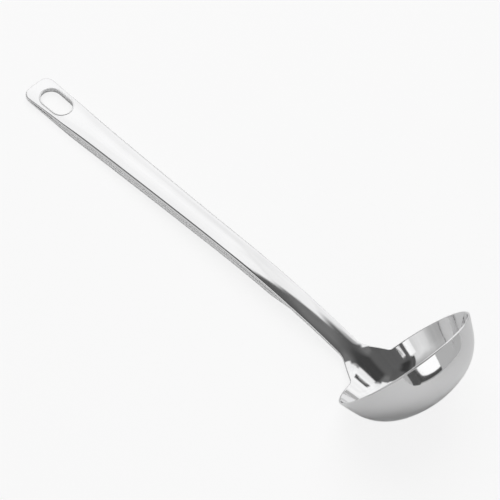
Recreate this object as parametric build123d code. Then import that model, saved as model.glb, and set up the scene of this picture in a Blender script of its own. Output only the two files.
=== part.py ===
from build123d import *
from math import acos, atan2, cos, degrees, hypot, radians, sin, sqrt, tan
import os

# Soup ladle in polished stainless steel, in millimetres, lying on its back as on a table.
# The bowl, the neck and a tang are one pressing. A hollow handle of two welded half shells
# takes the tang, and an oval sleeve lines the slot that the ladle hangs by.
#
# Everything is first drawn in the handle's own frame: the origin is the centre of the hanging
# slot on the handle's front face, +X runs down the handle to the bowl and +Z stands out of the
# front face. At the end the whole ladle is tipped on to the table and centred over the origin.

# Bowl
rim_radius = 44.0
bowl_depth = 30.8
bowl_wall = 1.35
wall_straight = 9.0
lip_chamfer = 0.35
wall_angle_share = 0.9645
base_flatness_share = 1.28

# Neck
neck_bend_angle = 13.7
slot_to_bend = 145.6
neck_bend_radius = 466.0
neck_length = 56.0
neck_thickness = 2.8
neck_edge_chamfer = 0.35
waist_half_width = 6.95
waist_to_rim = 14.0
waist_blend_radius = 11.0
flare_half_width = 16.0
rim_corner_radius = 2.5
rim_corner_sink = 0.3
root_depth = 4.0
root_inset = 0.05
dish_stations_share = (0.0, 0.2, 0.5, 1.0)
dish_left_share = (1.0, 0.62, 0.22, 0.0)

# Tang inside the hollow handle
tang_length = 34.0
tang_width = 9.0
tang_clearance = 0.05

# Handle shells
slot_to_tip = 19.3
tip_half_width = 10.4
tip_corner_radius = 6.2
middle_half_width = 7.7
shell_thickness = 0.7
belly_depth = 6.1
tip_depth = 2.2
slot_to_belly = 22.0
belly_blend_radius = 60.0
nose_length = 15.0
nose_blend_radius = 30.0
front_edge_chamfer = 0.8
back_edge_chamfer = 0.6
cavity_tip_margin = 4.0
seam_share = 0.45

# Hanging slot and its sleeve
slot_length = 21.8
slot_width = 12.8
sleeve_wall = 0.8
sleeve_edge_chamfer = 0.3

# One overrun serves every cut and every prism that is trimmed later
overrun = 12.0

# Angles and places that follow from the sizes above. The wall's tilt from the rim's plane is taken
# from that of a plain cap of the same size, and the handle leans back from it by the neck's bend.
wall_tilt = wall_angle_share * 2 * atan2(bowl_depth, rim_radius)
bend = radians(neck_bend_angle)
lean = wall_tilt - bend
tip_x = -slot_to_tip


def along_neck(distance, depth=0.0):
    """Point the given depth under the front face, the given distance up the neck from the rim."""
    turn = bend - max(distance, 0) / neck_bend_radius
    past = max(-distance, 0)
    radius = neck_bend_radius - depth
    x = slot_to_bend + radius * sin(turn) + past * cos(turn)
    z = radius * cos(turn) - neck_bend_radius - past * sin(turn)
    return x, z


def neck_plane(distance):
    """Plane square to the neck: its x is the ladle's Y, its y stands out of the front face."""
    x, z = along_neck(distance)
    turn = bend - max(distance, 0) / neck_bend_radius
    return Plane(origin=(x, 0, z), x_dir=(0, 1, 0), z_dir=(cos(turn), 0, -sin(turn)))


# Where the bowl sits in the handle's frame: its inner wall runs straight on into the neck
inner_rim_radius = rim_radius - bowl_wall / sin(wall_tilt)
rim_back_x, rim_back_z = along_neck(0.0)
root_half = flare_half_width + rim_corner_radius
reach = 2 * root_half
rim_centre = (rim_back_x + inner_rim_radius * cos(lean), rim_back_z + inner_rim_radius * sin(lean))
bowl_place = Plane(
    origin=(rim_centre[0], 0, rim_centre[1]),
    x_dir=(cos(lean), 0, sin(lean)),
    z_dir=(-sin(lean), 0, cos(lean)),
)

# Arcs of the bowl's outside: a straight wall, a side arc and a flatter base arc, all tangent
base_radius = base_flatness_share * (rim_radius**2 + bowl_depth**2) / (2 * bowl_depth)
wall_end_x = rim_radius - wall_straight * cos(wall_tilt)
wall_end_z = -wall_straight * sin(wall_tilt)
reach_z = wall_end_z + bowl_depth - base_radius
side_radius = (wall_end_x**2 + reach_z**2 - base_radius**2) / (
    2 * (wall_end_x * sin(wall_tilt) - reach_z * cos(wall_tilt) - base_radius)
)
side_centre = (wall_end_x - side_radius * sin(wall_tilt), wall_end_z + side_radius * cos(wall_tilt))
base_centre = (0.0, base_radius - bowl_depth)
base_turn = atan2(side_centre[0], base_centre[1] - side_centre[1])


def on_arc(centre, radius, turn):
    """Point of an arc, where turn 0 is its lowest point."""
    return (centre[0] + radius * sin(turn), centre[1] - radius * cos(turn))


def arc(centre, radius, start, end):
    middle = (start + end) / 2
    return ThreePointArc(*(on_arc(centre, radius, turn) for turn in (start, middle, end)))


def bowl_shell():
    """The bowl's wall and base, spun round its axis, with both edges of the lip taken off."""
    inner_side = side_radius - bowl_wall
    inner_base = base_radius - bowl_wall
    outline = Curve() + [
        arc(base_centre, base_radius, 0, base_turn),
        arc(side_centre, side_radius, base_turn, wall_tilt),
        Line(on_arc(side_centre, side_radius, wall_tilt), (rim_radius, 0)),
        Line((rim_radius, 0), (inner_rim_radius, 0)),
        Line((inner_rim_radius, 0), on_arc(side_centre, inner_side, wall_tilt)),
        arc(side_centre, inner_side, wall_tilt, base_turn),
        arc(base_centre, inner_base, base_turn, 0),
        Line(on_arc(base_centre, inner_base, 0), on_arc(base_centre, base_radius, 0)),
    ]
    section = make_face(outline)
    section = chamfer(section.vertices().sort_by(Axis.Y)[-2:], lip_chamfer)
    return bowl_place.location * revolve(Plane.XZ * section, Axis.Z)


def dish(half_width, distance):
    """Rise of the sheet's edges over its middle where it follows the bowl's conical wall."""
    radius = inner_rim_radius + min(distance, 0) * cos(wall_tilt)
    slope = 2 * radius / sin(wall_tilt)
    flatness = cos(2 * wall_tilt) / sin(wall_tilt) ** 2
    return (sqrt(slope**2 + 4 * flatness * half_width**2) - slope) / (2 * flatness)


def neck_section(distance, share):
    """Cross section of the neck's sheet at one station, before its outline is trimmed."""
    half = root_half
    run = max(distance, 0) / neck_length
    front = -root_inset * (1 - run)
    back = -bowl_wall + root_inset - run * (neck_thickness - bowl_wall + root_inset)
    rise = share * dish(half, distance)
    if share:
        faces = [
            ThreePointArc((-half, front + rise), (0, front), (half, front + rise)),
            ThreePointArc((half, back + rise), (0, back), (-half, back + rise)),
        ]
    else:
        faces = [Line((-half, front), (half, front)), Line((half, back), (-half, back))]
    sides = [Line(faces[0] @ 1, faces[1] @ 0), Line(faces[1] @ 1, faces[0] @ 0)]
    return neck_plane(distance).location * make_face(Curve() + faces + sides)


def handle_plan(inset=0.0):
    """Plan of the handle and the straight of the neck, from the rounded tip to the waist."""
    corner = tip_corner_radius - inset
    centre = (tip_x + tip_corner_radius, tip_half_width - tip_corner_radius)
    waist = (rim_back_x - waist_to_rim, waist_half_width - inset)
    middle = ((centre[0] + waist[0]) / 2, middle_half_width - inset)
    start = (centre[0] - corner, centre[1])
    side = (centre[0], centre[1] + corner)
    between = (centre[0] - corner * cos(radians(45)), centre[1] + corner * sin(radians(45)))
    edge = Curve() + [
        Line((start[0], 0), start),
        ThreePointArc(start, between, side),
        ThreePointArc(side, middle, waist),
        Line(waist, (waist[0], 0)),
        Line((waist[0], 0), (start[0], 0)),
    ]
    half = make_face(edge)
    return half + mirror(half, Plane.XZ)


def pressing_plan():
    """Plan of the neck's sheet, which flares from the waist and meets the rim in two rounded corners."""
    waist = rim_back_x - waist_to_rim
    rim_x = rim_back_x + rim_corner_sink
    rim_depth = inner_rim_radius - sqrt(inner_rim_radius**2 - flare_half_width**2)
    root_rim_depth = inner_rim_radius - sqrt(inner_rim_radius**2 - root_half**2)
    corner = (rim_x + rim_depth * cos(lean), flare_half_width)
    outer = (rim_x + root_rim_depth * cos(lean), root_half)
    far = (outer[0] + overrun, root_half)
    waist_corner = (waist, waist_half_width)
    flare = make_face(Polyline((waist, 0), waist_corner, corner, outer, far, (far[0], 0), close=True))
    plan = handle_plan() + flare + mirror(flare, Plane.XZ)
    for place, radius in ((waist_corner, waist_blend_radius), (corner, rim_corner_radius)):
        for side in (1, -1):
            plan = fillet(plan.vertices().sort_by_distance((place[0], side * place[1]))[0], radius)
    return plan


def side_view(start, front, tip, belly, nose):
    """Side view of the handle from one x on, between a front depth and a back depth at tip, belly and nose."""
    slope = (belly - tip) / (slot_to_belly + slot_to_tip)
    bend_start = bend * neck_bend_radius
    nose_start = neck_length + nose_length
    middle = (bend_start + neck_length) / 2
    back_middle = (bend_start + nose_start) / 2
    start_depth = tip + slope * (start - tip_x)
    outline = Curve() + [
        Line((start, -front), (slot_to_bend, -front)),
        ThreePointArc(*(along_neck(distance, front) for distance in (bend_start, middle, neck_length))),
        Line(along_neck(neck_length, front), along_neck(neck_length, nose)),
        Line(along_neck(neck_length, nose), along_neck(nose_start, belly)),
        ThreePointArc(*(along_neck(distance, belly) for distance in (nose_start, back_middle, bend_start))),
        Line(along_neck(bend_start, belly), (slot_to_belly, -belly)),
        Line((slot_to_belly, -belly), (start, -start_depth)),
        Line((start, -start_depth), (start, -front)),
    ]
    face = make_face(outline)
    for corner, radius in (
        ((slot_to_belly, -belly), belly_blend_radius),
        (along_neck(nose_start, belly), nose_blend_radius),
    ):
        face = fillet(face.vertices().sort_by_distance((*corner, 0))[0], radius)
    return Plane.XZ * face


def prism(face, distance=reach):
    return extrude(face, distance, both=True)


def side_views(inset=0.0):
    """Side views of the front and the back half of the handle, which meet at the side seam."""
    depths = (tip_depth, belly_depth, neck_thickness)
    start = tip_x + cavity_tip_margin if inset else tip_x
    whole = side_view(start, inset, *(depth - inset for depth in depths))
    front = side_view(tip_x, 0, *(seam_share * depth for depth in depths))
    return whole & front, whole - front


def eased(block, side, size):
    """Takes off the long edges of a block's front face (side 1) or back face (side -1)."""
    edges = []
    for face in block.faces():
        normal = face.normal_at()
        if side * normal.Z > max(abs(normal.X), abs(normal.Y)):
            edges += [
                edge
                for edge in face.edges()
                if abs((edge @ 0.5).Y) > root_inset or (edge @ 0.5).X < tip_x + root_inset
            ]
    return chamfer(edges, size)


def slot_prism(grow=0.0):
    return prism(SlotOverall(slot_length + 2 * grow, slot_width + 2 * grow))


def shell(side):
    """One half of the handle's skin: the front one is side 1 and the back one is side -1."""
    half = 0 if side > 0 else 1
    block = prism(side_views()[half]) & prism(handle_plan())
    block = eased(block, side, front_edge_chamfer if side > 0 else back_edge_chamfer)
    hollow = prism(side_views(shell_thickness)[half])
    hollow &= prism(handle_plan(shell_thickness))
    return block - hollow - slot_prism(sleeve_wall)


def sleeve():
    """Oval tube through both shells, with the inner edges of its mouths taken off."""
    tube = slot_prism(sleeve_wall) - slot_prism()
    tube &= prism(side_view(tip_x, 0, tip_depth, belly_depth, neck_thickness))
    mouths = []
    for edge in tube.edges():
        middle = edge @ 0.5
        level = abs((edge % 0.5).Z) < sleeve_edge_chamfer
        inner = hypot(middle.X, middle.Y) < slot_length / 2 + root_inset
        if level and inner and abs(middle.Y) < slot_width / 2 + root_inset:
            mouths.append(edge)
    return chamfer(mouths, sleeve_edge_chamfer)


def neck():
    """The sheet between the handle and the bowl's rim, with its long edges taken off."""
    stations = [(-root_depth, dish_left_share[0])]
    stations += [(neck_length * place, left) for place, left in zip(dish_stations_share, dish_left_share)]
    blank = loft([neck_section(distance, left) for distance, left in stations])
    sheet = blank & prism(pressing_plan())
    sides = [
        edge
        for edge in sheet.edges()
        if abs((edge @ 0.5).Y) > root_inset
        and abs((edge @ 0.5).Y) < root_half - root_inset
        and abs((edge % 0.5).Z) < seam_share
    ]
    return chamfer(sides, neck_edge_chamfer)


def tang():
    """Tongue of the pressing that lies inside the hollow handle against the front shell."""
    front = shell_thickness + tang_clearance
    back = neck_thickness - shell_thickness - tang_clearance
    start = neck_length - tang_width / 2
    end = neck_length + tang_length
    middle = (start + end) / 2
    outline = Curve() + [
        ThreePointArc(*(along_neck(distance, front) for distance in (start, middle, end))),
        Line(along_neck(end, front), along_neck(end, back)),
        ThreePointArc(*(along_neck(distance, back) for distance in (end, middle, start))),
        Line(along_neck(start, back), along_neck(start, front)),
    ]
    return prism(Plane.XZ * make_face(outline), tang_width / 2)


def on_table():
    """Place that lays the ladle down on its bowl and its handle, and centres it over the origin."""
    ramp = atan2(belly_depth - tip_depth, slot_to_belly + slot_to_tip)
    belly_x = slot_to_belly + belly_blend_radius * tan(ramp / 2)
    belly_z = belly_blend_radius - belly_depth
    side_x = rim_centre[0] + side_centre[1] * -sin(lean) - side_centre[0] * cos(lean)
    side_z = rim_centre[1] + side_centre[1] * cos(lean) - side_centre[0] * sin(lean)
    across, up = belly_x - side_x, belly_z - side_z
    apart = hypot(across, up)
    tip_down = atan2(across, up) + acos((belly_blend_radius - side_radius) / apart)
    lift = belly_blend_radius - belly_x * sin(tip_down) - belly_z * cos(tip_down)
    return tip_down, lift


nodes = {
    "bowl": bowl_shell() + neck() + tang(),
    "handle_front_shell": shell(1),
    "handle_back_shell": shell(-1),
    "hang_slot_sleeve": sleeve(),
}
tip_down, lift = on_table()
tipped = {name: Pos(0, 0, lift) * Rot(0, -degrees(tip_down), 0) * shape for name, shape in nodes.items()}
box = Compound(list(tipped.values())).bounding_box()
centred = Pos(-(box.min.X + box.max.X) / 2, 0, 0)
os.makedirs("parts", exist_ok=True)
for name, shape in tipped.items():
    export_step(centred * shape, f"parts/{name}.step")
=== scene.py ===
from math import cos, pi, radians, sin, sqrt, tan

import bmesh
import bpy
from mathutils import Matrix, Vector

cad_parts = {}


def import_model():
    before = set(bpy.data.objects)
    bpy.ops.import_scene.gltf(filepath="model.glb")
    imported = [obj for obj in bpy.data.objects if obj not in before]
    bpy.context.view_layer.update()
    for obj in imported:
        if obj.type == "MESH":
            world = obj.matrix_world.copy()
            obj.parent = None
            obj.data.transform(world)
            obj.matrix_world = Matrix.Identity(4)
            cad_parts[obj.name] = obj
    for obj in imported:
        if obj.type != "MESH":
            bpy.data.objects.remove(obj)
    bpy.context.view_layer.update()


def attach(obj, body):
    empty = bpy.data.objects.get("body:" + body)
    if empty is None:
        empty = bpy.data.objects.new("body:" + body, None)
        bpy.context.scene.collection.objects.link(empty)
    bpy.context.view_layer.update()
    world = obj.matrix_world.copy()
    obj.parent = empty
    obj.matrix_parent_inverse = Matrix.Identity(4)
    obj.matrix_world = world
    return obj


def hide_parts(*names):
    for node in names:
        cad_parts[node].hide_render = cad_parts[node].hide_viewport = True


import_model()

# Soup ladle in mirror polished stainless steel. All lengths below are millimetres in the handle's
# own frame, where the origin is the centre of the hanging slot on the front face, +X runs to the
# bowl and +Z stands out of the front face. at_rest() carries them to the resting ladle in metres.

# Bowl. BOWL_ARCS is its inner side from the middle outwards: radius, turn and steps of each arc.
INNER_RIM = 42.5388
INNER_DEPTH = 29.45
WALL = 1.26
WALL_TILT = radians(67.5)
BOWL_ARCS = (
    (58.6, 0.336482, 14),
    (50.0, 0.05, 2),
    (42.0, 0.05, 2),
    (36.0, 0.05, 2),
    (30.0581, 0.626615, 15),
    (45.0, 0.04, 2),
    (90.0, 0.025, 2),
)
WALL_RUN = 7.2
BOWL_SIDES = 180
SIDE_TURN = 360 / BOWL_SIDES
# The lip is a half round, which starts to roll this far short of the rim.
LIP = WALL / 2
LIP_START = 0.451
LIP_STEPS = 8

# Neck. It grows out of the rim over ROOT_TURN on each side of the back, rounds its corners over
# CORNER_END and narrows at FLARE to the waist, all in degrees.
BEND_X = 145.6
BEND_RADIUS = 466.0
BEND = radians(13.7)
RIM_RUN = BEND_X + BEND * BEND_RADIUS
NECK_RUN = RIM_RUN - 56.0
NECK_THICK = 2.78
ROOT_TURN = 24
ROOT_INSET = 0.07
CORNER = 2.5
CORNER_END = 57.1
CORNER_STEPS = 6
FLARE = 32.9
FLARE_STEPS = 8
WAIST_BLEND = 11.0
WAIST_STEPS = 6
WAIST_RISE = 17.24
STRAIGHT_STEPS = 19
DISH = 18.0
LEVELLING = 30.0
# A narrow strip of faces lies along each edge, so that the gloss bends at the edge alone.
ROOT_STRIP = 1.32
STRIP = 0.3
SUPPORT = 0.25

# Crown of the front face: its radius, how full it is at the tip, and the runs over which it
# fills from the tip and has gone again before the rim.
CROWN = 54.0
CROWN_START = 0.3
CROWN_FILLS = 80.0
CROWN_FADES = 20.0
CROWN_GONE = 1.0

# Handle. It slims from TIP_HALF by SLIMMING for each millimetre, and HOLLOWING bends its edge.
TIP_X = -19.25
TIP_CORNER = 6.2
TIP_STEPS = 8
TIP_HALF = 10.35
SLIMMING = 0.020776
HOLLOWING = 0.0000584
HOLLOW_X = 114.5
BELLY = 6.05
TIP_DEPTH = 2.15
BELLY_X = 22.0
BELLY_BLEND = 2.83
NOSE = 15.0
NOSE_BLEND = 3.26
SEAM = 0.45
GROOVE = 0.12
GROOVE_DEPTH = 0.084
SIDE_STRIP = 0.15
SIDE_SHARE = 0.3
SKIN = 0.7
FLAT_END = 15.0
STATION = 1.5
STRIPS = 6

# Radii of the rolled edges, and the runs over which they fill along the handle.
FRONT_EDGE = 0.8
BELLY_EDGE = 1.9
NECK_EDGE = 1.1
BACK_EDGE = 0.7
EDGE_STEPS = 7
FILL_START = 10.0
FILL_RUN = 50.0
FRONT_SLIMS = 85.0
BACK_FILLS = 40.0

# Hanging slot. The sleeve's front mouth is rolled by MOUTH. Its inside widens by BACK_SPREAD
# towards the back, where its mouth is rolled by BACK_SHARE of that.
SLOT_LENGTH = 21.8
SLOT_WIDTH = 12.8
SLOT_PULL = (SLOT_LENGTH - SLOT_WIDTH) / 2
SLOT_SIDES = 64
SLEEVE = 0.8
MOUTH = 0.45
MOUTH_STEPS = 5
BACK_SPREAD = 0.65
BACK_SHARE = 1 / 6

# The resting ladle
TIP_DOWN = 0.04610382
LIFT = 5.01307609
SHIFT = -147.82581631


def along(run, under=0.0):
    """x and z of a point on the middle plane, run along the front face and so far under it."""
    turn = min(max(run - BEND_X, 0) / BEND_RADIUS, BEND)
    past = max(run - RIM_RUN, 0)
    radius = BEND_RADIUS - under
    x = BEND_X + min(run - BEND_X, 0) + radius * sin(turn) + past * cos(turn)
    z = radius * cos(turn) - BEND_RADIUS - past * sin(turn)
    return x, z


def at_rest(x, y, z):
    """A point of the handle's frame, on the resting ladle."""
    c, s = cos(TIP_DOWN), sin(TIP_DOWN)
    return Vector((c * x - s * z + SHIFT, y, s * x + c * z + LIFT))


LEAN = WALL_TILT - BEND
RIM_BACK = along(RIM_RUN)
RIM_MIDDLE = (RIM_BACK[0] + INNER_RIM * cos(LEAN), RIM_BACK[1] + INNER_RIM * sin(LEAN))


def in_bowl(x, y, z):
    """A point of the bowl's frame, whose +Z leaves the mouth and whose -X faces the handle."""
    return at_rest(
        RIM_MIDDLE[0] + x * cos(LEAN) - z * sin(LEAN),
        y,
        RIM_MIDDLE[1] + x * sin(LEAN) + z * cos(LEAN),
    )


def ease(value):
    """Smooth step from 0 to 1 with no kink in its slope or its curve."""
    t = min(max(value, 0.0), 1.0)
    return t * t * t * (t * (6 * t - 15) + 10)


def crown(y, run):
    """How far the crowned front face has dropped beside its middle line."""
    fullness = CROWN_START + (1 - CROWN_START) * ease((run - TIP_X) / CROWN_FILLS)
    return y**2 / (2 * CROWN) * fullness * ease((RIM_RUN - run - CROWN_GONE) / CROWN_FADES)


def half_width(run):
    """Half the width of the handle and neck, which slims steadily from the tip to the waist."""
    past = run - TIP_X - TIP_CORNER
    return TIP_HALF - SLIMMING * past + HOLLOWING * past * (run - HOLLOW_X)


# Edges: a ring of boundary edges is carried outwards and down in steps, as a rolled edge is.


def ring_frames(edges, normal_of):
    """Place, outward direction and surface normal of each vertex on a ring of boundary edges."""
    frames = {}
    for vert in {v for e in edges for v in e.verts}:
        ends = [e.other_vert(vert).co for e in vert.link_edges if e in edges]
        centres = [f.calc_center_median() for f in vert.link_faces]
        inner = sum(centres, Vector()) / len(centres)
        run = ends[0] - (ends[1] if len(ends) > 1 else vert.co)
        normal = normal_of(vert)
        out = run.cross(normal).normalized()
        if out.dot(inner - vert.co) > 0:
            out.negate()
        frames[vert] = (vert.co.copy(), out, normal)
    return frames


def carry_ring(bm, edges, steps):
    """Extrudes a flat ring once for each step, which gives out and down for a vertex's place."""
    up = Vector((0, 0, 1))
    frames = ring_frames(set(edges), lambda v: up)
    for step in steps:
        made = bmesh.ops.extrude_edge_only(bm, edges=list(edges))["geom"]
        edges = [g for g in made if isinstance(g, bmesh.types.BMEdge)]
        fresh = {}
        for vert in (g for g in made if isinstance(g, bmesh.types.BMVert)):
            old = next(e.other_vert(vert) for e in vert.link_edges if e.other_vert(vert) in frames)
            place, out, normal = frames[old]
            across, under = step(place)
            vert.co = place + out * across - normal * under
            fresh[vert] = frames[old]
        frames = fresh


def rolled(radius, turn):
    """Out and down along a rounding of that radius after that turn, from the face it leaves."""
    return radius * sin(turn), radius * (1 - cos(turn))


# Bowl and neck: one sheet, spun and then drawn up from the rim, that gets its thickness last.


def bowl_sheet(bm):
    """Inner side of the bowl, spun from the arcs of its profile and its straight wall."""
    tip = bm.verts.new((0, 0, -INNER_DEPTH))
    tilt = 0.0
    for radius, turn, steps in BOWL_ARCS:
        centre = tip.co + Vector((radius * sin(tilt), 0, radius * cos(tilt)))
        made = bmesh.ops.spin(
            bm, geom=[tip], cent=centre, axis=(0, 1, 0), angle=turn, steps=steps, use_merge=False
        )
        tip = made["geom_last"][0]
        tilt += turn
    for run in (WALL_RUN / 4,) * 3 + (WALL_RUN / 4 - LIP_START - SUPPORT, SUPPORT):
        tip = bmesh.ops.extrude_vert_indiv(bm, verts=[tip])["verts"][0]
        tip.co += Vector((-cos(WALL_TILT), 0, sin(WALL_TILT))) * run
    bmesh.ops.spin(
        bm, geom=bm.verts[:] + bm.edges[:], cent=(0, 0, 0), axis=(0, 0, 1),
        angle=2 * pi, steps=BOWL_SIDES, use_merge=True,
    )
    bmesh.ops.remove_doubles(bm, verts=bm.verts, dist=0.001)
    bmesh.ops.recalc_face_normals(bm, faces=bm.faces)
    if max(bm.faces, key=lambda f: -f.calc_center_median().z).normal.z < 0:
        bmesh.ops.reverse_faces(bm, faces=bm.faces)


def neck_point(y, rise):
    """A point of the neck's front face, which rises from the bowl's cone and flattens."""
    radius = INNER_RIM + rise * cos(WALL_TILT)
    inward = INNER_RIM - sqrt(radius**2 - y**2)
    up = rise * sin(WALL_TILT)
    cone_rise = up * sin(WALL_TILT) - inward * cos(WALL_TILT)
    dish = up * cos(WALL_TILT) + inward * sin(WALL_TILT)
    keep = 1 - ease(rise / DISH)
    x, z = along(RIM_RUN - rise - keep * (cone_rise - rise), crown(y, RIM_RUN - rise) - keep * dish)
    return at_rest(x, y, z)


def neck_rows():
    """Rise, half width and edge strip of each row from the corner at the rim to the handle."""
    corner_y = INNER_RIM * sin(radians(ROOT_TURN)) - ROOT_INSET
    reach = CORNER + LIP
    rows = []
    for step in range(1, CORNER_STEPS + 1):
        share = step / CORNER_STEPS
        turn = radians(CORNER_END * share)
        rise = CORNER + LIP - LIP_START - reach * cos(turn)
        strip = ROOT_STRIP - (ROOT_STRIP - STRIP) * share
        rows.append((rise, corner_y - reach * sin(turn), strip))
    start, width = rows[-1][0], rows[-1][1]
    blend = WAIST_BLEND + LIP
    waist = half_width(RIM_RUN - WAIST_RISE) - LIP
    flare_end = WAIST_RISE - blend * sin(radians(FLARE))
    flare_width = waist + blend * (1 - cos(radians(FLARE)))
    for step in range(1, FLARE_STEPS + 1):
        share = step / FLARE_STEPS
        rise = start + share * (flare_end - start)
        rows.append((rise, width + share * (flare_width - width), STRIP))
    for step in range(1, WAIST_STEPS + 1):
        turn = radians(FLARE * (1 - step / WAIST_STEPS))
        rows.append((WAIST_RISE - blend * sin(turn), waist + blend * (1 - cos(turn)), STRIP))
    for step in range(1, STRAIGHT_STEPS + 1):
        rise = WAIST_RISE + step * (RIM_RUN - NECK_RUN - WAIST_RISE) / STRAIGHT_STEPS
        rows.append((rise, half_width(RIM_RUN - rise) - neck_edge(rise), STRIP))
    return rows


def neck_edge(rise):
    """Radius of the neck's rolled edge, which is half the wall at the bowl."""
    return LIP + (NECK_EDGE - LIP) * levelled(rise)


def thickness(rise):
    """Thickness of the sheet, which the bowl is drawn thin from and the neck keeps."""
    return WALL + (NECK_THICK - WALL) * ease(rise / (RIM_RUN - NECK_RUN))


def levelled(rise):
    """Share of the neck's edge and rear that is level with the handle's, 1 where they meet."""
    return ease((rise - WAIST_RISE) / LEVELLING)


def facing(normal, rise):
    """The way that the sheet faces, which is square to the handle's middle line at its end."""
    run = RIM_RUN - rise
    above, on = along(run, -1), along(run)
    square = at_rest(above[0], 0, above[1]) - at_rest(on[0], 0, on[1])
    return normal.lerp(square, levelled(rise)).normalized()


def through(y, rise):
    """Thickness of the sheet beside its middle, less the crown where the rear is flat."""
    return thickness(rise) - levelled(rise) * crown(y, RIM_RUN - rise)


def ladle_bowl():
    """The bowl with its neck, as one pressed sheet with a rolled edge all round."""
    bm = bmesh.new()
    bowl_sheet(bm)
    reach = radians(ROOT_TURN + SIDE_TURN / 4)
    back = [
        e for e in bm.edges
        if e.is_boundary and all(v.co.x < -abs(v.co.y) / tan(reach) for v in e.verts)
    ]
    for vert in bm.verts:
        vert.co = in_bowl(*vert.co)
    rise_of = bm.verts.layers.float.new("rise")
    for rise, width, strip in neck_rows():
        made = bmesh.ops.extrude_edge_only(bm, edges=back)["geom"]
        back = [g for g in made if isinstance(g, bmesh.types.BMEdge)]
        row = sorted((g for g in made if isinstance(g, bmesh.types.BMVert)), key=lambda v: v.co.y)
        last = len(row) // 2
        for place, vert in enumerate(row):
            turn = radians(SIDE_TURN * abs(place - last))
            side = 1 if place > last else -1
            inner = (width - strip) * sin(turn) / sin(radians(ROOT_TURN - SIDE_TURN))
            vert.co = neck_point(side * (width if abs(place - last) == last else inner), rise)
            vert[rise_of] = rise
    bm.normal_update()
    front = bm.faces[:]
    ring = [e for e in bm.edges if e.is_boundary and e not in set(back)]
    normals = {v: facing(v.normal, v[rise_of]) for v in bm.verts}
    copy = bmesh.ops.duplicate(bm, geom=bm.verts[:] + bm.edges[:] + front)
    rear = {v: copy["vert_map"][v] for v in normals}
    copied = [g for g in copy["geom"] if isinstance(g, bmesh.types.BMFace)]
    bmesh.ops.reverse_faces(bm, faces=copied)
    for vert, behind in rear.items():
        behind.co = vert.co - normals[vert] * through(vert.co.y, vert[rise_of])
    roll_edge(bm, ring, normals, rise_of)
    bmesh.ops.remove_doubles(bm, verts=bm.verts, dist=0.002)
    end = [e for e in bm.edges if e.is_boundary]
    for edge in end:
        edge.smooth = False
    bmesh.ops.holes_fill(bm, edges=end, sides=0)
    return bm


def roll_edge(bm, ring, normals, rise_of):
    """Rounds the ring's edge over to the rear, with a flat between where the sheet is thick."""
    frames = ring_frames(set(ring), lambda v: normals[v])
    rises = {v: v[rise_of] for v in frames}
    edges = ring
    for step in range(1, LIP_STEPS + 1):
        made = bmesh.ops.extrude_edge_only(bm, edges=edges)["geom"]
        edges = [g for g in made if isinstance(g, bmesh.types.BMEdge)]
        fresh, levels = {}, {}
        turn = pi * step / LIP_STEPS
        for vert in [g for g in made if isinstance(g, bmesh.types.BMVert)]:
            old = next(e.other_vert(vert) for e in vert.link_edges if e.other_vert(vert) in frames)
            place, out, normal = frames[old]
            rise = rises[old]
            edge = neck_edge(rise)
            flat = (through(place.y, rise) - 2 * edge) * (step > LIP_STEPS / 2)
            vert.co = place + out * edge * sin(turn) - normal * (edge * (1 - cos(turn)) + flat)
            fresh[vert] = frames[old]
            levels[vert] = rise
        frames, rises = fresh, levels


# Handle: two pressed shells that meet on a seam round the side, drawn flat and bent at the end.


def turned(past, reach):
    """How far a line has left another after a bend between them, eased over reach on each side."""
    return past if past > reach else max(past + reach, 0) ** 2 / (4 * reach)


def depth(run):
    """Depth of the back face: slim at the tip, full along the belly, and down to the neck."""
    rising = (BELLY - TIP_DEPTH) / (BELLY_X - TIP_X)
    falling = (BELLY - NECK_THICK) / NOSE
    at_tip = rising * turned(BELLY_X - run, BELLY_BLEND)
    at_neck = falling * turned(run - NECK_RUN + NOSE, NOSE_BLEND)
    return BELLY - at_tip - at_neck


def slot_ring(bm, radius):
    """A ring of that radius pulled out along the handle into the outline of the hanging slot."""
    turn = Matrix.Rotation(pi / SLOT_SIDES, 4, "Z")
    ring = bmesh.ops.create_circle(bm, segments=SLOT_SIDES, radius=radius, matrix=turn)["verts"]
    for vert in ring:
        vert.co.x += SLOT_PULL if vert.co.x > 0 else -SLOT_PULL
    return ring


def front_edge(run):
    """Radius of the front shell's rolled edge, which is fullest along the belly."""
    filling = (BELLY_EDGE - FRONT_EDGE) * ease((run - TIP_X - FILL_START) / FILL_RUN)
    slimming = (BELLY_EDGE - NECK_EDGE) * ease((run - NECK_RUN + FRONT_SLIMS) / FRONT_SLIMS)
    return FRONT_EDGE + filling - slimming


def back_edge(run):
    """Radius of the back shell's rolled edge, which meets the neck's."""
    return BACK_EDGE + (NECK_EDGE - BACK_EDGE) * ease((run - NECK_RUN + BACK_FILLS) / BACK_FILLS)


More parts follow.
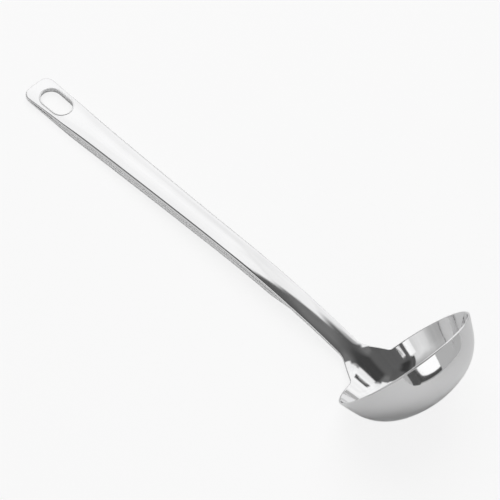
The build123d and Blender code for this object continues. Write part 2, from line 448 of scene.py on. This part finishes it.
def handle_plate(bm, inset):
    """The handle's flat outline less its edge, with round tip corners and an open hanging slot."""
    count = 1 + round((NECK_RUN - FLAT_END) / STATION)
    grid = bmesh.ops.create_grid(bm, x_segments=count, y_segments=1, size=1)["verts"]
    runs = [TIP_X + inset(TIP_X)] + [
        FLAT_END + k * (NECK_RUN - FLAT_END) / (count - 1) for k in range(count)
    ]
    for vert in grid:
        run = runs[round((vert.co.x + 1) * count / 2)]
        vert.co = (run, (1 if vert.co.y > 0 else -1) * (half_width(run) - inset(run)), 0)
    tip = [v for v in bm.verts if v.co.x < FLAT_END - 1]
    bmesh.ops.bevel(
        bm, geom=tip, offset=TIP_CORNER - inset(TIP_X), offset_type="OFFSET", segments=TIP_STEPS,
        profile=0.5, affect="VERTICES", material=-1,
    )
    # The face at the tip is filled again round the slot, and all of it is cut in long strips.
    flat = min(bm.faces, key=lambda f: f.calc_center_median().x)
    around = flat.edges[:]
    bmesh.ops.delete(bm, geom=[flat], context="FACES_ONLY")
    slot = set(slot_ring(bm, SLOT_WIDTH / 2 + SLEEVE))
    around += [e for e in bm.edges if slot.issuperset(e.verts)]
    bmesh.ops.triangle_fill(
        bm, edges=around, use_beauty=True, use_dissolve=False, normal=(0, 0, 1)
    )
    bmesh.ops.recalc_face_normals(bm, faces=bm.faces)
    if bm.faces[0].normal.z < 0:
        bmesh.ops.reverse_faces(bm, faces=bm.faces)
    bmesh.ops.inset_region(
        bm, faces=bm.faces, thickness=SUPPORT, use_boundary=True, use_even_offset=True
    )
    for strip in range(-STRIPS, STRIPS + 1):
        everything = bm.verts[:] + bm.edges[:] + bm.faces[:]
        bmesh.ops.bisect_plane(
            bm, geom=everything, dist=0.001, plane_co=(0, strip * STATION, 0), plane_no=(0, 1, 0)
        )


def handle_shell(front):
    """Front or back half of the handle: face, rolled edge, side and slot wall down to the seam."""
    edge = front_edge if front else back_edge
    bm = bmesh.new()
    handle_plate(bm, edge)
    rims = [
        e for e in bm.edges
        if e.is_boundary and min(v.co.x for v in e.verts) < NECK_RUN - 0.01
    ]
    slot = [e for e in rims if is_slot(e)]
    rims = [e for e in rims if e not in slot]

    def tall(run):
        return depth(run) * (SEAM if front else 1 - SEAM)

    def below(run, most):
        return min(most, SIDE_SHARE * (tall(run) - edge(run)))

    turns = [pi / 2 * k / EDGE_STEPS for k in range(1, EDGE_STEPS + 1)]
    steps = [lambda p, t=turn: rolled(edge(p.x), t) for turn in turns]
    steps.append(lambda p: (edge(p.x), edge(p.x) + below(p.x, SIDE_STRIP)))
    steps.append(lambda p: (edge(p.x), tall(p.x) - below(p.x, GROOVE)))
    steps.append(lambda p: (edge(p.x) - GROOVE_DEPTH, tall(p.x)))
    carry_ring(bm, rims, steps)
    carry_ring(bm, slot, [lambda p: (0, 0.01), lambda p: (0, tall(p.x))])
    for vert in bm.verts:
        run, y, z = vert.co
        drop = crown(y, run) * (1 + z / tall(run))
        x, z = along(run, drop - z if front else depth(run) + z)
        vert.co = at_rest(x, y, z)
    for line in bm.edges:
        line.smooth = not line.is_boundary
    if not front:
        bmesh.ops.reverse_faces(bm, faces=bm.faces)
    return bm


def is_slot(edge):
    """Whether a boundary edge of the plate is on the slot's ring."""
    most = SLOT_WIDTH / 2 + SLEEVE + 0.1
    return all(
        Vector((max(abs(v.co.x) - SLOT_PULL, 0), v.co.y)).length < most for v in edge.verts
    )


def hang_slot_sleeve():
    """The bright ring through both shells that lines the hanging slot, with rounded mouths."""
    bm = bmesh.new()
    inside, outside = SLOT_WIDTH / 2, SLOT_WIDTH / 2 + SLEEVE
    mouth = [rolled(MOUTH, pi / 2 * k / MOUTH_STEPS) for k in range(MOUTH_STEPS + 1)]
    rows = [(inside + MOUTH - out, under, False) for out, under in mouth]
    behind = inside + BACK_SPREAD
    for out, under in reversed(mouth):
        rows.append((behind - out * BACK_SHARE, under * BACK_SHARE, True))
    rows += [(outside, 0, True), (outside, 0, False)]
    slot_ring(bm, outside)
    edges = bm.edges[:]
    for reach, under, back in rows:
        made = bmesh.ops.extrude_edge_only(bm, edges=edges)["geom"]
        edges = [g for g in made if isinstance(g, bmesh.types.BMEdge)]
        for vert in (g for g in made if isinstance(g, bmesh.types.BMVert)):
            middle = Vector((SLOT_PULL if vert.co.x > 0 else -SLOT_PULL, 0, 0))
            out = Vector((vert.co.x, vert.co.y, 0)) - middle
            vert.co = middle + out.normalized() * reach
            vert.co.z = under - depth(vert.co.x) if back else -under
    bmesh.ops.remove_doubles(bm, verts=bm.verts, dist=0.001)
    bmesh.ops.recalc_face_normals(bm, faces=bm.faces)
    for vert in bm.verts:
        x, z = along(vert.co.x, -vert.co.z)
        vert.co = at_rest(x, vert.co.y, z)
    return bm


# Finish


def mirror_steel():
    """Mirror polished stainless steel: a slight wave, faint polishing lines and uneven gloss."""
    material = bpy.data.materials.new("mirror_polished_steel")
    material.use_nodes = True
    nodes, links = material.node_tree.nodes, material.node_tree.links
    steel = nodes["Principled BSDF"]
    steel.inputs["Metallic"].default_value = 1
    place = nodes.new("ShaderNodeTexCoord")

    def pattern(scale, detail, stretch=(1, 1, 1)):
        spread = nodes.new("ShaderNodeMapping")
        spread.inputs["Scale"].default_value = stretch
        noise = nodes.new("ShaderNodeTexNoise")
        noise.inputs["Scale"].default_value = scale
        noise.inputs["Detail"].default_value = detail
        links.new(place.outputs["Object"], spread.inputs["Vector"])
        links.new(spread.outputs["Vector"], noise.inputs["Vector"])
        return noise.outputs["Fac"]

    def between(value, low, high, bottom, top):
        change = nodes.new("ShaderNodeMapRange")
        names = ("From Min", "From Max", "To Min", "To Max")
        for name, number in zip(names, (low, high, bottom, top)):
            change.inputs[name].default_value = number
        links.new(value, change.inputs["Value"])
        return change.outputs["Result"]

    def raised(value, distance, below=None):
        bump = nodes.new("ShaderNodeBump")
        bump.inputs["Distance"].default_value = distance
        links.new(value, bump.inputs["Height"])
        if below:
            links.new(below, bump.inputs["Normal"])
        return bump.outputs["Normal"]

    tone = nodes.new("ShaderNodeMix")
    tone.data_type = "RGBA"
    tone.inputs["A"].default_value = (0.77, 0.77, 0.775, 1)
    tone.inputs["B"].default_value = (0.83, 0.83, 0.832, 1)
    links.new(pattern(35, 4), tone.inputs["Factor"])
    links.new(tone.outputs["Result"], steel.inputs["Base Color"])
    lines = pattern(1400, 3, (0.04, 1, 1))
    links.new(between(lines, 0.35, 0.75, 0.035, 0.10), steel.inputs["Roughness"])
    wave = raised(pattern(70, 1), 0.00002)
    links.new(raised(lines, 0.0000004, wave), steel.inputs["Normal"])
    return material


def add_piece(name, bm, node, material):
    """Puts a finished mesh on the ladle in place of its CAD node."""
    bmesh.ops.scale(bm, vec=(0.001, 0.001, 0.001), verts=bm.verts)
    mesh = bpy.data.meshes.new(name)
    bm.to_mesh(mesh)
    bm.free()
    mesh.polygons.foreach_set("use_smooth", [True] * len(mesh.polygons))
    mesh.materials.append(material)
    piece = bpy.data.objects.new(name, mesh)
    bpy.context.scene.collection.objects.link(piece)
    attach(piece, "root")
    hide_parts(node)
    return piece


STEEL = mirror_steel()
add_piece("ladle_bowl", ladle_bowl(), "bowl", STEEL)
for side, front in (("front", True), ("back", False)):
    shell = add_piece(f"handle_{side}", handle_shell(front), f"handle_{side}_shell", STEEL)
    skin = shell.modifiers.new("skin", "SOLIDIFY")
    skin.thickness = SKIN / 1000
    skin.offset = -1
    skin.use_even_offset = True
add_piece("slot_sleeve", hang_slot_sleeve(), "hang_slot_sleeve", STEEL)


# Studio


def emitter(name, level):
    """A plain glowing card material of that level of light."""
    material = bpy.data.materials.new(name)
    material.use_nodes = True
    nodes, links = material.node_tree.nodes, material.node_tree.links
    nodes.remove(nodes["Principled BSDF"])
    glow = nodes.new("ShaderNodeEmission")
    glow.inputs["Color"].default_value = (level, level, level, 1)
    links.new(glow.outputs["Emission"], nodes["Material Output"].inputs["Surface"])
    return material


def flat_sheet(name, material, place, width, height, turn):
    """A flat staged sheet of width by height, turned by a matrix, with its middle at place."""
    bm = bmesh.new()
    bmesh.ops.create_grid(bm, x_segments=1, y_segments=1, size=0.5)
    bmesh.ops.scale(bm, vec=(width, height, 1), verts=bm.verts)
    bmesh.ops.transform(bm, matrix=Matrix.Translation(place) @ turn, verts=bm.verts)
    mesh = bpy.data.meshes.new(name)
    bm.to_mesh(mesh)
    bm.free()
    mesh.materials.append(material)
    sheet = bpy.data.objects.new(name, mesh)
    bpy.context.scene.collection.objects.link(sheet)
    return sheet


TABLE_SIZE = 8
TABLE_TONE = 0.85
TABLE_WHITE = 0.85


def table():
    """A plain pale table, drawn nearly white for the camera, that keeps the ladle's shadow."""
    material = bpy.data.materials.new("table")
    material.use_nodes = True
    nodes, links = material.node_tree.nodes, material.node_tree.links
    pale = nodes["Principled BSDF"]
    pale.inputs["Base Color"].default_value = (TABLE_TONE, TABLE_TONE, TABLE_TONE, 1)
    pale.inputs["Roughness"].default_value = 1
    pale.inputs["Specular IOR Level"].default_value = 0
    white = nodes.new("ShaderNodeEmission")
    view = nodes.new("ShaderNodeLightPath")
    share = nodes.new("ShaderNodeMath")
    share.operation = "MULTIPLY"
    share.inputs[1].default_value = TABLE_WHITE
    blend = nodes.new("ShaderNodeMixShader")
    links.new(view.outputs["Is Camera Ray"], share.inputs[0])
    links.new(share.outputs["Value"], blend.inputs["Fac"])
    links.new(pale.outputs["BSDF"], blend.inputs[1])
    links.new(white.outputs["Emission"], blend.inputs[2])
    links.new(blend.outputs["Shader"], nodes["Material Output"].inputs["Surface"])
    flat_sheet("table", material, (0, 0, 0), TABLE_SIZE, TABLE_SIZE, Matrix())


# Low cards round the ladle that only the polished steel sees: name, level, the middle's place,
# width and height in metres, and degrees of turn about the upright.
CARDS = (
    ("wall_ahead", 0.52, (0.56, 0.03, 0.12), 1.1, 0.24, 90),
    ("wall_beside", 0.5, (0.30, 0.21, 0.015), 0.52, 0.03, 0),
    ("dark_gap", 0.08, (0.54, -0.01, 0.042), 0.24, 0.044, 90),
    ("dark_post", 0.10, (0.535, -0.145, 0.04), 0.07, 0.08, 90),
    ("window", 1.25, (0.53, 0.008, 0.097), 0.185, 0.066, 90),
)


def cards():
    """Stands the low cards up."""
    for name, level, place, width, height, turn in CARDS:
        way = Matrix.Rotation(radians(turn), 4, "Z") @ Matrix.Rotation(pi / 2, 4, "X")
        card = flat_sheet(name, emitter(name, level), place, width, height, way)
        card.visible_camera = False
        card.visible_diffuse = False
        card.visible_shadow = False


# The camera in the bowl's frame: its place, and the ways its right, down and ahead point.
EYE = (1697.896, -858.145, 349.208)
RIGHT = (0.42377514, 0.70663832, -0.56663649)
DOWN = (-0.15133036, -0.56155774, -0.81348142)
AHEAD = (-0.89303625, 0.43048251, -0.13103838)


def camera():
    """A long lens above the bowl's side, as the photograph is taken."""
    data = bpy.data.cameras.new("camera")
    data.lens = 252
    data.sensor_width = 36
    data.clip_end = 20
    middle = in_bowl(0, 0, 0)
    right, down, ahead = (in_bowl(*way) - middle for way in (RIGHT, DOWN, AHEAD))
    turn = Matrix((right, -down, -ahead)).transposed().to_4x4()
    seat = bpy.data.objects.new("camera", data)
    seat.matrix_world = Matrix.Translation(in_bowl(*EYE) / 1000) @ turn
    bpy.context.scene.collection.objects.link(seat)
    bpy.context.scene.camera = seat


# What the polished steel looks into, as soft patches of light and dark round the ladle. Each is
# from and to in azimuth, its softness, from and to in elevation, its softness, and its level.
# A later patch covers an earlier one, and WALLS is the level where there is none.
WALLS = 0.5
PATCHES = (
    (-128, -88, 34, 22, 120, 24, 0.88),
    (-200, 200, 1, 57, 100, 2.5, 0.125),
    (-150, -112, 4, 53.6, 58, 1.5, 0.09),
    (104, 127, 10, 58, 73, 8, 0.19),
    (84, 98, 6, 54, 74, 6, 0.06),
    (-170, -118, 16, 61, 76, 9, 0.045),
    (66, 95.5, 2, -20, 54.3, 2.5, 1.08),
    (95, 99.5, 2, -20, 51.5, 2.5, 1.08),
    (99, 103, 3, -20, 53.5, 2, 1.08),
    (102.3, 110, 4, -20, 55, 3, 1.08),
    (108.5, 132, 7, -20, 61, 2, 1.1),
    (130, 172, 8, -20, 62.8, 2, 1.1),
    (94.6, 96.9, 1.5, 35.5, 42.5, 2.5, 0.04),
    (-109, -101.5, 1.5, 48.5, 58.5, 1.5, 1.22),
    (-103.2, -100.3, 0.8, 63.8, 69.5, 1.2, 1.05),
)


def world():
    """A plain studio for the steel to mirror, plain white to the camera: walls and PATCHES."""
    sky = bpy.data.worlds.new("studio")
    sky.use_nodes = True
    bpy.context.scene.world = sky
    nodes, links = sky.node_tree.nodes, sky.node_tree.links

    def math(kind, *values):
        node = nodes.new("ShaderNodeMath")
        node.operation = kind
        for socket, value in zip(node.inputs, values):
            if isinstance(value, bpy.types.NodeSocket):
                links.new(value, socket)
            else:
                socket.default_value = value
        return node.outputs["Value"]

    def edge(value, middle, soft):
        node = nodes.new("ShaderNodeMapRange")
        node.interpolation_type = "SMOOTHSTEP"
        node.inputs["From Min"].default_value = middle - soft / 2
        node.inputs["From Max"].default_value = middle + soft / 2
        links.new(value, node.inputs["Value"])
        return node.outputs["Result"]

    way = nodes.new("ShaderNodeTexCoord")
    parts = nodes.new("ShaderNodeSeparateXYZ")
    links.new(way.outputs["Generated"], parts.inputs["Vector"])
    azimuth = math("DEGREES", math("ARCTAN2", parts.outputs["Y"], parts.outputs["X"]))
    elevation = math("DEGREES", math("ARCSINE", parts.outputs["Z"]))
    level = WALLS
    for left, right, side_soft, low, high, rise_soft, light in PATCHES:
        across = math("SUBTRACT", edge(azimuth, left, side_soft), edge(azimuth, right, side_soft))
        up = math("SUBTRACT", edge(elevation, low, rise_soft), edge(elevation, high, rise_soft))
        change = math("MULTIPLY", math("MULTIPLY", across, up), math("SUBTRACT", light, level))
        level = math("ADD", level, change)
    # The light is uneven by up to a quarter either way.
    clouds = nodes.new("ShaderNodeTexNoise")
    clouds.inputs["Scale"].default_value = 4
    clouds.inputs["Detail"].default_value = 3
    links.new(way.outputs["Generated"], clouds.inputs["Vector"])
    uneven = math("MULTIPLY_ADD", clouds.outputs["Fac"], 0.5, 0.75)
    view = nodes.new("ShaderNodeLightPath")
    seen = math("MAXIMUM", view.outputs["Is Camera Ray"], math("MULTIPLY", level, uneven))
    links.new(seen, nodes["Background"].inputs["Color"])
    sky.cycles_visibility.diffuse = False


# Soft round lamps over the table: name, width in metres, power in watts and place.
LAMPS = (
    ("key_lamp", 1.7, 17.5, (-0.55, 0.5, 1.2)),
    ("fill_lamp", 1.7, 4.5, (0.35, -0.6, 1.2)),
    ("far_lamp", 0.3, 0.6, (0.6, -0.15, 0.35)),
)


def lamps():
    """Lamps that light the table, turned to the ladle and not mirrored in it."""
    for name, width, power, place in LAMPS:
        data = bpy.data.lights.new(name, "AREA")
        data.shape = "DISK"
        data.size = width
        data.energy = power
        seat = bpy.data.objects.new(name, data)
        seat.location = place
        seat.rotation_euler = Vector(place).to_track_quat("Z", "Y").to_euler()
        seat.visible_glossy = False
        seat.visible_camera = False
        bpy.context.scene.collection.objects.link(seat)


table()
cards()
camera()
world()
lamps()
bpy.context.scene.view_settings.view_transform = "Standard"
